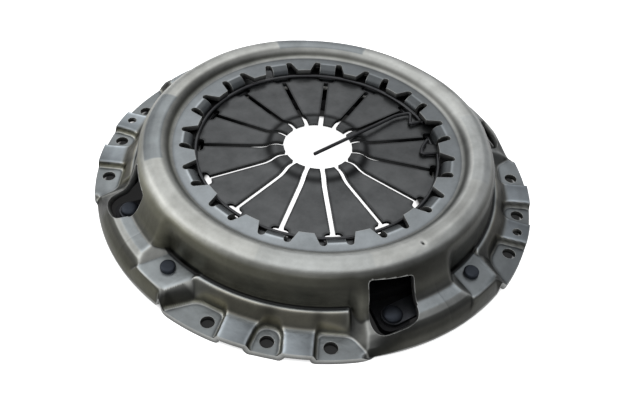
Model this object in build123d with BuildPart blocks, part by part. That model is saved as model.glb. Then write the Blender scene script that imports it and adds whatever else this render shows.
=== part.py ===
"""Diaphragm-spring clutch cover assembly: cover, spring, wire rings, pressure plate, drive straps and rivets.

The origin is the centre of the bolt circle, on the face that bolts to the flywheel. +Z points from the
flywheel to the release bearing, so the friction face looks down and the spring's fingers are on top.
Angles are in degrees, counter-clockwise seen from above, and 0 is the first bolt hole.
"""
import os
from math import acos, atan2, cos, degrees, hypot, radians, sin, tan

from build123d import *

os.makedirs("parts", exist_ok=True)

# ---------------------------------------------------------------- driving dimensions, mm and degrees
FLANGE_R = 195.0               # outer edge of the bolt pads
SHEET = 5.0                    # thickness of the cover's steel
QUARTERS = 4                   # bolt groups, lugs, straps and windows
BOLT_PITCH = 15.0              # angle from one bolt hole of a group to the next
BOLT_HOLE_R = 5.5
BOLT_EDGE = 11.0               # from the bolt circle to the flange's edge
DOWEL_HOLE_R = 4.0
DOWEL_EDGE = 10.0
DOWEL_ANGLE = 97.1             # first of the two dowel holes
PAD_DEPTH = 23.0               # radial length of a bolt pad
PAD_HALF = 3.6                 # half angle of a bolt pad's flat
BRIDGE_RISE = 5.0              # how far the bridges between pads stand above the pads
STEP_ANGLE = 1.3               # angle over which pad and bridge blend
LOWER_WALL = 9.5               # radial reach of the sloping wall behind the pads
LEDGE_WIDTH = 4.5              # narrow ledge half way down the bolt sectors
LEDGE_Z = 20.0
RIVET_PAD_Z = 17.5             # top of the raised rivet pads
ARCH_Z = 23.5                  # top of the cover where it arches over a strap
RIM_GAP = 1.5                  # air under the arched rim
RIM_INSET = 2.0                # the arched rim lies inside the bolt pads' edge
CROWN_Z = 55.0                 # top of the rolled crown
CROWN_WIDTH = 17.5             # flat top of the crown
CROWN_RISE = 6.0               # radial reach of the slope from shelf to crown
SHELF_TOP_Z = 47.0             # flat inner shelf of the cover
SHELF_WIDTH = 19.5             # from the shelf's outer edge to the teeth's tips

TEETH = 15                     # teeth, tabs and spring fingers
FIRST_TAB = 9.2                # angle of the first tab and spring window
TOOTH_TIP_HALF = 6.2           # half width of a tooth's tip
TOOTH_LENGTH = 9.5
NOTCH_R = 3.0                  # round end of the notch beside each tab
NOTCH_SIDE = 3.45              # from a tab's edge to the centre of its notch
TAB_WIDTH = 14.5
TAB_CURL = 5.5                 # length of a tab's end under the lower ring

WIRE_R = 1.6                   # radius of the wire of both rings
WIRE_INSET = 0.5               # the rings' centre line lies inside the teeth's tips
WIRE_CLEAR = 0.1               # between wire, spring and cover
TAB_CLEAR = 0.5                # between a ring and the tab that holds it

SPRING_T = 3.2
SPRING_CONE = 27.0             # radial reach of the spring's cone
SPRING_OUTER_Z = 32.0          # top of the spring at its outer edge
SPRING_BEND_Z = 39.0           # top of the spring where the cone turns into the fingers
FINGER_BEND_Z = 40.6           # where a finger turns up
TIP_R = 30.0
TIP_Z = 43.9
TIP_CREST_R = 38.0
TIP_CREST_Z = 45.0
FINGER_BEND_R = 47.0
SLOT_WIDTH = 4.2
SPRING_WINDOW_DEPTH = 16.5     # windows at the outer ends of the slots
SPRING_WINDOW_WIDTH = 18.0
TAB_AHEAD = 2.0                # from a tab's back to the outer edge of its window

FACE_Z = 3.5                   # friction face above the mounting face, cover off the engine
PLATE_CLEAR = 4.0              # between the plate's rim and the foot of the cover's wall
PLATE_RIM = 4.3                # thickness of the plate's thin outer rim
PLATE_RIM_WIDTH = 5.0
PLATE_BODY_TOP = 20.0
PLATE_INNER_TOP = 17.0
PLATE_BORE_INSET = 6.5         # the plate's bore lies inside the rings
RIDGE_HALF = 2.6               # half width of the fulcrum ridge under the spring
RIDGE_INSET = 3.5
SEAT_CLEAR = 0.3               # between plate and spring

LEAVES = 3                     # strap leaves in one pack
LEAF_T = 1.0
STRAP_WIDTH = 18.0
COVER_RIVET_ANGLE = 73.4
COVER_RIVET_EDGE = 25.0        # from the cover rivets to the flange's edge
LUG_ANGLE = 47.0
LUG_RIVET_EDGE = 28.0
LUG_END = 12.0                 # from a lug's rivet to its outer end
LUG_WIDTH = 25.0
LUG_CORNER_R = 8.0
LUG_T = 5.5
SHANK_R = 4.0
SHANK_CLEAR = 0.05
COVER_HEAD_R = 6.2
COVER_HEAD_H = 4.0
LUG_HEAD_R = 8.0
LUG_HEAD_H = 4.5
TAIL_R = 6.5                   # closed end of a rivet under the sheet it holds
TAIL_H = 2.5
LUG_TAIL_H = 2.2

WINDOW_ANGLE = 46.7            # middle of the lug window
WINDOW_WIDTH = 37.5
WINDOW_TOP_Z = 47.5
WINDOW_CLEAR = 6.5             # from a lug's end to the window's outer edge
WINDOW_CORNER_R = 9.0

# ---------------------------------------------------------------- sizes that follow from them
BOLT_CIRCLE_R = FLANGE_R - BOLT_EDGE
DOWEL_CIRCLE_R = FLANGE_R - DOWEL_EDGE
PAD_IN_R = FLANGE_R - PAD_DEPTH
LEDGE_R = PAD_IN_R - LOWER_WALL
WALL_FOOT_R = LEDGE_R - LEDGE_WIDTH
RIM_R = FLANGE_R - RIM_INSET
CROWN_OUTER_R = WALL_FOOT_R - 8.0
CROWN_INNER_R = CROWN_OUTER_R - CROWN_WIDTH
SHELF_OUTER_R = CROWN_INNER_R - CROWN_RISE
TOOTH_TIP_R = SHELF_OUTER_R - SHELF_WIDTH
NOTCH_CENTRE_R = TOOTH_TIP_R + TOOTH_LENGTH
NOTCH_OFFSET = TAB_WIDTH / 2.0 + NOTCH_SIDE
TAB_BEND_R = NOTCH_CENTRE_R + NOTCH_R / 2.0
RING_R = TOOTH_TIP_R - WIRE_INSET
TAB_FACE_R = RING_R + WIRE_R + TAB_CLEAR
TAB_END_R = TAB_FACE_R - TAB_CURL
SPRING_WINDOW_OUT = TAB_FACE_R + SHEET + TAB_AHEAD
SPRING_WINDOW_IN = SPRING_WINDOW_OUT - SPRING_WINDOW_DEPTH
SPRING_BEND_R = RING_R - 2.5
SPRING_OUTER_R = SPRING_BEND_R + SPRING_CONE
PLATE_R = WALL_FOOT_R - PLATE_CLEAR
PLATE_BODY_R = PLATE_R - PLATE_RIM_WIDTH
PLATE_BORE_R = RING_R - PLATE_BORE_INSET
RIDGE_R = SPRING_OUTER_R - RIDGE_INSET
RIVET_CIRCLE_R = FLANGE_R - COVER_RIVET_EDGE
LUG_RIVET_R = FLANGE_R - LUG_RIVET_EDGE
LUG_R = LUG_RIVET_R + LUG_END
WINDOW_OUT_R = LUG_R + WINDOW_CLEAR
WINDOW_IN_R = CROWN_OUTER_R - 4.0
PAD_TOP_Z = SHEET
SHELF_UNDER_Z = SHELF_TOP_Z - SHEET
STRAP_TOP_Z = RIVET_PAD_Z - SHEET
STRAP_UNDER_Z = STRAP_TOP_Z - LEAVES * LEAF_T
LUG_TOP_Z = STRAP_UNDER_Z
LUG_UNDER_Z = LUG_TOP_Z - LUG_T
SLOT_LENGTH = SPRING_WINDOW_IN + 2.0 - TIP_R + 4.0
SLOT_MIDDLE_R = SPRING_WINDOW_IN + 2.0 - SLOT_LENGTH / 2.0
SPRING_WINDOW_MIDDLE_R = (SPRING_WINDOW_IN + SPRING_WINDOW_OUT) / 2.0
QUARTER = 360.0 / QUARTERS
TOOTH_PITCH = 360.0 / TEETH
CONE_SLOPE = atan2(SPRING_BEND_Z - SPRING_OUTER_Z, SPRING_CONE)
UPPER_RING_FROM = 141.2        # the upper ring runs from here the long way round
UPPER_RING_ARC = 335.8
LOWER_RING_FROM = 12.0
LOWER_RING_ARC = 357.5


def around(radius, angle, z=0.0):
    """Point at a radius and an angle about the clutch's axis."""
    return (radius * cos(radians(angle)), radius * sin(radians(angle)), z)


def cone_top(r):
    """Height of the spring's top face on its outer cone."""
    return SPRING_OUTER_Z + (SPRING_OUTER_R - r) * tan(CONE_SLOPE)


UPPER_RING_Z = cone_top(RING_R) + (WIRE_R + WIRE_CLEAR) / cos(CONE_SLOPE)
LOWER_RING_Z = cone_top(RING_R) - (SPRING_T + WIRE_R + WIRE_CLEAR) / cos(CONE_SLOPE)
RIDGE_TOP_Z = cone_top(RIDGE_R + RIDGE_HALF) - SPRING_T / cos(CONE_SLOPE) - SEAT_CLEAR


def radial_plane(angle):
    """Plane through the axis at an angle: x runs outward and y runs up."""
    direction = around(1.0, angle)
    return Plane(origin=(0, 0, 0), x_dir=direction, z_dir=(direction[1], -direction[0], 0))


def eased(points, radii, steps):
    """Chain with its inner corners replaced by points on bends; a corner of 0 steps stays sharp."""
    chain = [points[0]]
    for before, corner, after, radius, count in zip(points, points[1:], points[2:], radii, steps):
        if count == 0:
            chain.append(corner)
            continue
        back = hypot(before[0] - corner[0], before[1] - corner[1])
        ahead = hypot(after[0] - corner[0], after[1] - corner[1])
        u = ((before[0] - corner[0]) / back, (before[1] - corner[1]) / back)
        v = ((after[0] - corner[0]) / ahead, (after[1] - corner[1]) / ahead)
        half = acos(max(-1.0, min(1.0, u[0] * v[0] + u[1] * v[1]))) / 2.0
        reach = min(radius / tan(half), 0.45 * back, 0.45 * ahead)
        for step in range(count + 1):
            t = step / count
            a, b = reach * (1.0 - t) ** 2, reach * t ** 2
            chain.append((corner[0] + a * u[0] + b * v[0], corner[1] + a * u[1] + b * v[1]))
    chain.append(points[-1])
    return chain


def offset_chain(points, distance, level_end=False):
    """Parallel chain on the right of a chain, with mitred corners and a square first end.

    The last end is cut square too, or level when level_end is set.
    """
    normals = []
    for (x0, y0), (x1, y1) in zip(points, points[1:]):
        length = hypot(x1 - x0, y1 - y0)
        normals.append(((y1 - y0) / length, -(x1 - x0) / length))
    chain = [(points[0][0] + distance * normals[0][0], points[0][1] + distance * normals[0][1])]
    for (x, y), a, b in zip(points[1:-1], normals, normals[1:]):
        share = distance / (1.0 + a[0] * b[0] + a[1] * b[1])
        chain.append((x + share * (a[0] + b[0]), y + share * (a[1] + b[1])))
    x, y = points[-1]
    nx, ny = normals[-1]
    chain.append((x + distance / nx, y) if level_end else (x + distance * nx, y + distance * ny))
    return chain


# ---------------------------------------------------------------- cover
# The pressed cover is made of stretches of constant section and blends between unlike sections.
# Every section is a chain of the same nine corners, from the shelf's teeth out to the rim.
CROWN_CHAIN = [(TOOTH_TIP_R, SHELF_TOP_Z), (SHELF_OUTER_R, SHELF_TOP_Z), (CROWN_INNER_R, CROWN_Z)]
BEND_STEPS = [1, 1, 2, 1, 0, 0, 1]


def bolt_section(flat_z):
    """Bolt sector: set-in wall, narrow ledge, lower wall and a flat at the given height."""
    chain = CROWN_CHAIN + [(CROWN_OUTER_R, CROWN_Z), (WALL_FOOT_R - 2.0, 42.0), (WALL_FOOT_R, LEDGE_Z),
                           (LEDGE_R, LEDGE_Z), (PAD_IN_R, flat_z), (FLANGE_R, flat_z)]
    return eased(chain, [3.0, 7.0, 9.0, 20.0, 0.0, 0.0, 3.0], BEND_STEPS), False


def rivet_section():
    """Raised rivet pad between the wall and a steep outer slope."""
    foot = WALL_FOOT_R + 3.0
    chain = CROWN_CHAIN + [(CROWN_OUTER_R + 1.5, CROWN_Z), (foot - 2.5, 42.0), (foot, RIVET_PAD_Z),
                           (RIM_R - 9.0, RIVET_PAD_Z), (RIM_R - 3.0, 10.0), (RIM_R, RIM_GAP)]
    return eased(chain, [3.0, 7.0, 9.0, 20.0, 0.0, 0.0, 8.0], BEND_STEPS), True


def rising_section():
    """Low start of the arch beside the last bolt pad."""
    foot = WALL_FOOT_R + 9.5
    chain = CROWN_CHAIN + [(CROWN_OUTER_R + 3.5, CROWN_Z), (foot - 6.5, 42.0), (foot, 16.0),
                           (RIM_R - 13.0, 11.5), (RIM_R - 4.0, 7.0), (RIM_R, RIM_GAP)]
    return eased(chain, [3.0, 7.0, 10.0, 20.0, 0.0, 0.0, 8.0], BEND_STEPS), True


def arch_section():
    """Arch over a strap: bulged wall, nearly flat top and rounded outer slope."""
    foot = WALL_FOOT_R + 11.0
    chain = CROWN_CHAIN + [(CROWN_OUTER_R + 4.0, CROWN_Z), (foot - 7.0, 42.0), (foot, ARCH_Z),
                           (RIM_R - 10.0, ARCH_Z - 2.5), (RIM_R - 3.0, 11.0), (RIM_R, RIM_GAP)]
    return eased(chain, [3.0, 7.0, 10.0, 20.0, 0.0, 0.0, 8.0], BEND_STEPS), True


def halfway(first, second):
    """Section midway between two sections."""
    chain = [((a[0] + b[0]) / 2.0, (a[1] + b[1]) / 2.0) for a, b in zip(first[0], second[0])]
    return chain, second[1]


def section_face(angle, section):
    """Sheet-thick face of a section on the radial plane at an angle."""
    chain, level_end = section
    inner = offset_chain(chain, SHEET, level_end)
    with BuildSketch(radial_plane(angle)) as sketch:
        with BuildLine():
            Polyline(*chain, *reversed(inner), close=True)
        make_face()
    return sketch.sketch.face()


def skin(solid):
    """Faces of a stretch without the two radial faces where it meets its neighbours."""
    kept = []
    for face in solid.faces():
        middle = face.center()
        tangent = Vector(-middle.Y, middle.X, 0).normalized()
        if abs(face.normal_at().dot(tangent)) < 0.999:
            kept.append(face)
    return kept


PAD = bolt_section(PAD_TOP_Z)
BRIDGE = bolt_section(PAD_TOP_Z + BRIDGE_RISE)
RISING = rising_section()
ARCH = arch_section()
RIVET_PAD = rivet_section()
BRIDGE_HALF = BOLT_PITCH / 2.0 - PAD_HALF - STEP_ANGLE
# Stretches of one quarter: section, from angle, to angle. A blend joins each to the next.
STRETCHES = [
    (PAD, -6.5, PAD_HALF),
    (BRIDGE, 0.5 * BOLT_PITCH - BRIDGE_HALF, 0.5 * BOLT_PITCH + BRIDGE_HALF),
    (PAD, BOLT_PITCH - PAD_HALF, BOLT_PITCH + PAD_HALF),
    (BRIDGE, 1.5 * BOLT_PITCH - BRIDGE_HALF, 1.5 * BOLT_PITCH + BRIDGE_HALF),
    (PAD, 2.0 * BOLT_PITCH - PAD_HALF, 35.5),
    (RISING, 39.5, 41.0),
    (halfway(RISING, ARCH), 45.5, 46.5),
    (ARCH, 51.0, 65.0),
    (RIVET_PAD, 69.2, 78.5),
]

quarter_skin = []
for index, (section, start, end) in enumerate(STRETCHES):
    follower, follower_start, _ = STRETCHES[(index + 1) % len(STRETCHES)]
    if index == len(STRETCHES) - 1:
        follower_start += QUARTER
    stretch = revolve(section_face(start, section), axis=Axis.Z, revolution_arc=end - start)
    blend = loft([section_face(end, section), section_face(follower_start, follower)], ruled=True)
    quarter_skin += skin(stretch) + skin(blend)

cover_skin = []
for quarter in range(QUARTERS):
    cover_skin += [face.rotate(Axis.Z, quarter * QUARTER) for face in quarter_skin]

RING_TO = UPPER_RING_FROM + UPPER_RING_ARC
HOOK_POINTS = [around(RING_R, RING_TO, UPPER_RING_Z), around(RING_R - 3.6, 116.6, 41.1),
               around(RING_R - 14.9, 115.0, 41.5), around(RING_R - 13.5, 120.0, 42.2),
               around(RING_R - 6.6, 125.7, 42.4)]
TAIL_POINTS = [around(RING_R, UPPER_RING_FROM, UPPER_RING_Z), around(RING_R - 3.3, 141.0, 41.1),
               around(RING_R - 13.3, 140.4, 41.8), around(RING_R - 4.2, 148.3, 42.4),
               around(RING_R - 19.7, 149.9, 42.9), around(19.7, 16.2, 50.8)]
TAB_HALF_PITCH = TOOTH_PITCH / 2.0
TAB_CURL_Z = LOWER_RING_Z - WIRE_R - TAB_CLEAR
tooth_tip = around(TOOTH_TIP_R, TAB_HALF_PITCH)
flank_x = tooth_tip[0] + TOOTH_TIP_HALF * sin(radians(TAB_HALF_PITCH))
flank_y = tooth_tip[1] - TOOTH_TIP_HALF * cos(radians(TAB_HALF_PITCH))
tab_places = [FIRST_TAB + TOOTH_PITCH * index for index in range(TEETH)]
bolt_places = [QUARTER * q + BOLT_PITCH * k for q in range(QUARTERS) for k in range(3)]
rivet_places = [QUARTER * q + COVER_RIVET_ANGLE for q in range(QUARTERS)]
lug_places = [QUARTER * q + LUG_ANGLE for q in range(QUARTERS)]

with BuildPart() as cover:
    add(Solid(Shell(cover_skin)), clean=False)
    # gaps between the teeth, with a round-ended notch on both sides of every tab
    with BuildSketch(Plane.XY.offset(SHELF_UNDER_Z - 5.0)):
        for angle in tab_places:
            with Locations(Rotation(0, 0, angle)):
                with BuildLine():
                    Polyline((TOOTH_TIP_R - 12.0, flank_y + 3.0), (flank_x, flank_y),
                             (NOTCH_CENTRE_R, NOTCH_OFFSET + NOTCH_R),
                             (NOTCH_CENTRE_R, NOTCH_OFFSET), (TAB_BEND_R, TAB_WIDTH / 2.0),
                             (TAB_BEND_R, -TAB_WIDTH / 2.0), (NOTCH_CENTRE_R, -NOTCH_OFFSET),
                             (NOTCH_CENTRE_R, -NOTCH_OFFSET - NOTCH_R), (flank_x, -flank_y),
                             (TOOTH_TIP_R - 12.0, -flank_y - 3.0), close=True)
                make_face()
            with Locations(Rotation(0, 0, angle) * Location((NOTCH_CENTRE_R, NOTCH_OFFSET, 0)),
                           Rotation(0, 0, angle) * Location((NOTCH_CENTRE_R, -NOTCH_OFFSET, 0))):
                Circle(NOTCH_R)
    extrude(amount=SHEET + 10.0, mode=Mode.SUBTRACT, clean=False)
    # bolt holes, dowel holes and the rivet holes in the raised pads
    with BuildSketch():
        with Locations([around(BOLT_CIRCLE_R, angle) for angle in bolt_places]):
            Circle(BOLT_HOLE_R)
        with Locations([around(DOWEL_CIRCLE_R, DOWEL_ANGLE + half_turn) for half_turn in (0.0, 180.0)]):
            Circle(DOWEL_HOLE_R)
        with Locations([around(RIVET_CIRCLE_R, angle) for angle in rivet_places]):
            Circle(SHANK_R + SHANK_CLEAR)
    extrude(amount=CROWN_Z, mode=Mode.SUBTRACT, clean=False)
    # lug windows through the wall and the arch's top
    with BuildSketch(Plane.XY.offset(PLATE_BODY_TOP - 12.0)):
        for quarter in range(QUARTERS):
            with Locations(Rotation(0, 0, WINDOW_ANGLE + quarter * QUARTER)
                           * Location(((WINDOW_IN_R + WINDOW_OUT_R) / 2.0, 0, 0))):
                RectangleRounded(WINDOW_OUT_R - WINDOW_IN_R, WINDOW_WIDTH, WINDOW_CORNER_R)
    extrude(amount=WINDOW_TOP_Z - PLATE_BODY_TOP + 12.0, mode=Mode.SUBTRACT, clean=False)
    # holding tabs, bent down past both rings and curled in under the lower one
    tab = [(TAB_END_R, TAB_CURL_Z), (TAB_FACE_R, TAB_CURL_Z), (TAB_FACE_R, SHELF_TOP_Z),
           (TAB_BEND_R + 1.5, SHELF_TOP_Z)]
    tab = eased(tab, [0.0, 8.0], [0, 3])
    for angle in tab_places:
        with BuildSketch(radial_plane(angle)):
            with BuildLine():
                Polyline(*tab, *reversed(offset_chain(tab, SHEET)), close=True)
            make_face()
    extrude(amount=TAB_WIDTH / 2.0, both=True, clean=False)
cover.part.label = "cover"
export_step(cover.part, "parts/cover.step")

# ---------------------------------------------------------------- diaphragm spring
with BuildPart() as diaphragm_spring:
    with BuildSketch(Plane.XZ):
        with BuildLine():
            spring_top = [(TIP_R, TIP_Z), (TIP_CREST_R, TIP_CREST_Z), (FINGER_BEND_R, FINGER_BEND_Z),
                          (SPRING_BEND_R, SPRING_BEND_Z), (SPRING_OUTER_R, SPRING_OUTER_Z)]
            spring_top = eased(spring_top, [9.0, 8.0, 20.0], [2, 1, 1])
            Polyline(*spring_top, *reversed(offset_chain(spring_top, SPRING_T)), close=True)
        make_face()
    revolve(axis=Axis.Z)
    # fifteen narrow slots, each ending in a rounded window where a tab passes through
    with BuildSketch(Plane.XY):
        for angle in tab_places:
            with Locations(Rotation(0, 0, angle) * Location((SLOT_MIDDLE_R, 0, 0))):
                Rectangle(SLOT_LENGTH, SLOT_WIDTH)
            with Locations(Rotation(0, 0, angle) * Location((SPRING_WINDOW_MIDDLE_R, 0, 0))):
                RectangleRounded(SPRING_WINDOW_OUT - SPRING_WINDOW_IN, SPRING_WINDOW_WIDTH, 4.0)
    extrude(amount=2.0 * SHELF_TOP_Z, mode=Mode.SUBTRACT)
diaphragm_spring.part.label = "diaphragm_spring"
export_step(diaphragm_spring.part, "parts/diaphragm_spring.step")

# ---------------------------------------------------------------- wire rings
# Upper ring: its two ends turn inward off the circle; one is a short hook, the other a long straight
# tail that rests on the crests of two fingers across the clutch's middle.
with BuildPart() as pivot_ring_upper:
    with BuildSketch(radial_plane(UPPER_RING_FROM)):
        with Locations((RING_R, UPPER_RING_Z)):
            Circle(WIRE_R)
    revolve(axis=Axis.Z, revolution_arc=UPPER_RING_ARC)
    for bend_points in (HOOK_POINTS, TAIL_POINTS):
        for start, end in zip(bend_points, bend_points[1:]):
            run = Vector(*end) - Vector(*start)
            with BuildSketch(Plane(origin=start, z_dir=run)):
                Circle(WIRE_R)
            extrude(amount=run.length)
        with Locations(bend_points[:-1]):
            Sphere(WIRE_R)
pivot_ring_upper.part.label = "pivot_ring_upper"
export_step(pivot_ring_upper.part, "parts/pivot_ring_upper.step")

# Lower ring: one plain turn with a narrow gap between its ends.
with BuildPart() as pivot_ring_lower:
    with BuildSketch(radial_plane(LOWER_RING_FROM)):
        with Locations((RING_R, LOWER_RING_Z)):
            Circle(WIRE_R)
    revolve(axis=Axis.Z, revolution_arc=LOWER_RING_ARC)
pivot_ring_lower.part.label = "pivot_ring_lower"
export_step(pivot_ring_lower.part, "parts/pivot_ring_lower.step")

# ---------------------------------------------------------------- pressure plate
with BuildPart() as pressure_plate:
    with BuildSketch(Plane.XZ):
        with BuildLine():
            Polyline((PLATE_BORE_R, FACE_Z), (PLATE_R, FACE_Z), (PLATE_R, FACE_Z + PLATE_RIM),
                     (PLATE_BODY_R, FACE_Z + PLATE_RIM), (PLATE_BODY_R, PLATE_BODY_TOP),
                     (RIDGE_R + 2.0 * RIDGE_HALF, PLATE_BODY_TOP), (RIDGE_R + RIDGE_HALF, RIDGE_TOP_Z),
                     (RIDGE_R - RIDGE_HALF, RIDGE_TOP_Z), (RIDGE_R - 2.0 * RIDGE_HALF, PLATE_INNER_TOP),
                     (PLATE_BORE_R, PLATE_INNER_TOP), close=True)
        make_face()
    revolve(axis=Axis.Z)
    # four lugs reach out through the cover's windows
    with BuildSketch(Plane.XY.offset(LUG_TOP_Z - LUG_T)):
        for angle in lug_places:
            with Locations(Rotation(0, 0, angle) * Location(((LUG_R + PLATE_BODY_R) / 2.0 - 3.0, 0, 0))):
                RectangleRounded(LUG_R - PLATE_BODY_R + 6.0, LUG_WIDTH, LUG_CORNER_R)
    extrude(amount=LUG_T)
    with Locations([around(LUG_RIVET_R, angle) for angle in lug_places]):
        Cylinder(SHANK_R + SHANK_CLEAR, 60.0, mode=Mode.SUBTRACT)
pressure_plate.part.label = "pressure_plate"
export_step(pressure_plate.part, "parts/pressure_plate.step")

# ---------------------------------------------------------------- straps and rivets, four of each
for quarter in range(QUARTERS):
    cover_end = around(RIVET_CIRCLE_R, rivet_places[quarter])
    lug_end = around(LUG_RIVET_R, lug_places[quarter])
    run = Vector(*lug_end) - Vector(*cover_end)
    for leaf_index in range(LEAVES):
        with BuildPart() as leaf:
            with BuildSketch(Plane(origin=(0, 0, STRAP_UNDER_Z + leaf_index * LEAF_T))):
                with Locations(Location((Vector(*cover_end) + Vector(*lug_end)) * 0.5,
                                        (0, 0, degrees(atan2(run.Y, run.X))))):
                    SlotCenterToCenter(run.length, STRAP_WIDTH)
                with Locations(cover_end, lug_end):
                    Circle(SHANK_R + SHANK_CLEAR, mode=Mode.SUBTRACT)
            extrude(amount=LEAF_T)
        leaf.part.label = f"strap_{quarter + 1}_leaf_{leaf_index + 1}"
        export_step(leaf.part, f"parts/{leaf.part.label}.step")

    with BuildPart() as cover_rivet:
        with BuildSketch(Plane.XZ):
            with BuildLine():
                Polyline((0, STRAP_UNDER_Z - TAIL_H), (TAIL_R - 1.0, STRAP_UNDER_Z - TAIL_H),
                         (TAIL_R, STRAP_UNDER_Z - TAIL_H + 1.0), (TAIL_R, STRAP_UNDER_Z),
                         (SHANK_R, STRAP_UNDER_Z), (SHANK_R, RIVET_PAD_Z), (COVER_HEAD_R, RIVET_PAD_Z),
                         (COVER_HEAD_R, RIVET_PAD_Z + COVER_HEAD_H - 1.6),
                         (COVER_HEAD_R - 1.6, RIVET_PAD_Z + COVER_HEAD_H),
                         (0, RIVET_PAD_Z + COVER_HEAD_H), close=True)
            make_face()
        revolve(axis=Axis.Z)
    cover_rivet.part = cover_rivet.part.moved(Location(cover_end))
    cover_rivet.part.label = f"cover_rivet_{quarter + 1}"
    export_step(cover_rivet.part, f"parts/{cover_rivet.part.label}.step")

    with BuildPart() as lug_rivet:
        with BuildSketch(Plane.XZ):
            with BuildLine():
                Polyline((0, LUG_UNDER_Z - LUG_TAIL_H), (TAIL_R - 1.0, LUG_UNDER_Z - LUG_TAIL_H),
                         (TAIL_R, LUG_UNDER_Z - LUG_TAIL_H + 1.0), (TAIL_R, LUG_UNDER_Z),
                         (SHANK_R, LUG_UNDER_Z), (SHANK_R, STRAP_TOP_Z), (LUG_HEAD_R, STRAP_TOP_Z),
                         (LUG_HEAD_R, STRAP_TOP_Z + 1.2), (LUG_HEAD_R - 1.5, STRAP_TOP_Z + 3.4),
                         (LUG_HEAD_R - 4.0, STRAP_TOP_Z + LUG_HEAD_H),
                         (0, STRAP_TOP_Z + LUG_HEAD_H), close=True)
            make_face()
        revolve(axis=Axis.Z)
    lug_rivet.part = lug_rivet.part.moved(Location(lug_end))
    lug_rivet.part.label = f"lug_rivet_{quarter + 1}"
    export_step(lug_rivet.part, f"parts/{lug_rivet.part.label}.step")
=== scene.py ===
"""Looks of a diaphragm-spring clutch cover assembly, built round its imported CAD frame.

Sizes are written in millimetres and turned into metres by MM, and angles are degrees from X towards Y. The
clutch's axis is Z and the flange rests on z = 0.
"""
import math

import bpy
import numpy as np
from mathutils import Matrix, Vector


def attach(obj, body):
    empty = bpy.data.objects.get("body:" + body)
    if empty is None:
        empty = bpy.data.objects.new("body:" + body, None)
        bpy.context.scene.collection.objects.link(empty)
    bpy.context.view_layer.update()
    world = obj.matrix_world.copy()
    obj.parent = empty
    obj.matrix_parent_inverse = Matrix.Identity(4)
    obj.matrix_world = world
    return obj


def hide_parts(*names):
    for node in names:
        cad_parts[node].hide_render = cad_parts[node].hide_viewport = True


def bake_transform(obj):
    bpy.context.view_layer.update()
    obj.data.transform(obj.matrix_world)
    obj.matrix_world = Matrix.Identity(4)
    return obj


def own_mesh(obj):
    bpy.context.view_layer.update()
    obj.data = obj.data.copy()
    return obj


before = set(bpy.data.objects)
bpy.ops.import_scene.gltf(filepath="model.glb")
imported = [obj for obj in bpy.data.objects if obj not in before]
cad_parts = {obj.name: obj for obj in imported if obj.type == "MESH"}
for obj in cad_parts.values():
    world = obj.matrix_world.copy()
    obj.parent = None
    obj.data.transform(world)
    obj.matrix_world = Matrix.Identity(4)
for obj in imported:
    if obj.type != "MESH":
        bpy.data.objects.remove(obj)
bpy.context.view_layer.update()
scene = bpy.context.scene

# ---------------------------------------------------------------- camera
# Three-quarter view from above the front bolt group, at the height of a product shot, through a normal
# lens. Its right and up directions are given, and it looks along the third.
MM = 0.001
CAMERA_PLACE = Vector((467.5, 191.8, 482.5)) * MM
CAMERA_RIGHT = Vector((-0.44508, 0.89297, 0.06718))
CAMERA_UP = Vector((-0.61998, -0.36140, 0.69643))
SENSOR_WIDTH = 36.0
FOCAL_LENGTH = 44.26
camera_data = bpy.data.cameras.new("camera")
camera_data.sensor_width = SENSOR_WIDTH
camera_data.lens = FOCAL_LENGTH
camera = bpy.data.objects.new("camera", camera_data)
back = CAMERA_RIGHT.cross(CAMERA_UP).normalized()
right = CAMERA_RIGHT.normalized()
up = back.cross(right)
camera.matrix_world = Matrix.Translation(CAMERA_PLACE) @ Matrix((right, up, back)).transposed().to_4x4()
scene.collection.objects.link(camera)
scene.camera = camera
scene.view_settings.view_transform = "Standard"

# ---------------------------------------------------------------- floor
# Matt white floor with a painted shadow: dark where the clutch shades it, between painted light that falls
# through the hub and the flange's rim. Seen by the camera it reads white, and metal shows a quarter of that
# white.
FLOOR_SIZE = 6.0
FLOOR_Z = -0.2
FLOOR_GLINT = 0.25
SHADED = 0.02
# discs of painted light and shadow on the floor as (x, y, radius that is fully inside, radius that is fully
# outside)
HUB_LIGHT = (45.0, 15.0, 101.0, 105.0)
SLOT_LIGHT = (-185.4, -75.0, 271.0, 272.5)
FAR_LIGHT = (-47.0, -19.0, 41.0, 45.0)
RIM_SHADE = (0.0, 0.0, 187.0, 195.0)


def math_step(tree, operation, first, second):
    """Result of a math node on a socket and on a second socket or a constant."""
    node = tree.nodes.new("ShaderNodeMath")
    node.operation = operation
    tree.links.new(first, node.inputs[0])
    if isinstance(second, float):
        node.inputs[1].default_value = second
    else:
        tree.links.new(second, node.inputs[1])
    return node.outputs["Value"]


def map_step(tree, value, low, high, at_low, at_high):
    """Result that goes from at_low to at_high while the value goes from low to high."""
    node = tree.nodes.new("ShaderNodeMapRange")
    node.inputs["From Min"].default_value = low
    node.inputs["From Max"].default_value = high
    node.inputs["To Min"].default_value = at_low
    node.inputs["To Max"].default_value = at_high
    tree.links.new(value, node.inputs["Value"])
    return node.outputs["Result"]


def shown_white(tree, glossy):
    """Share of white that a ray meets: all of it from the camera or through glass, a part off metal."""
    path = tree.nodes.new("ShaderNodeLightPath")
    seen = math_step(tree, "MAXIMUM", path.outputs["Is Camera Ray"], path.outputs["Is Transmission Ray"])
    glint = math_step(tree, "MULTIPLY", path.outputs["Is Glossy Ray"], glossy)
    return math_step(tree, "MAXIMUM", seen, glint)


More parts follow.
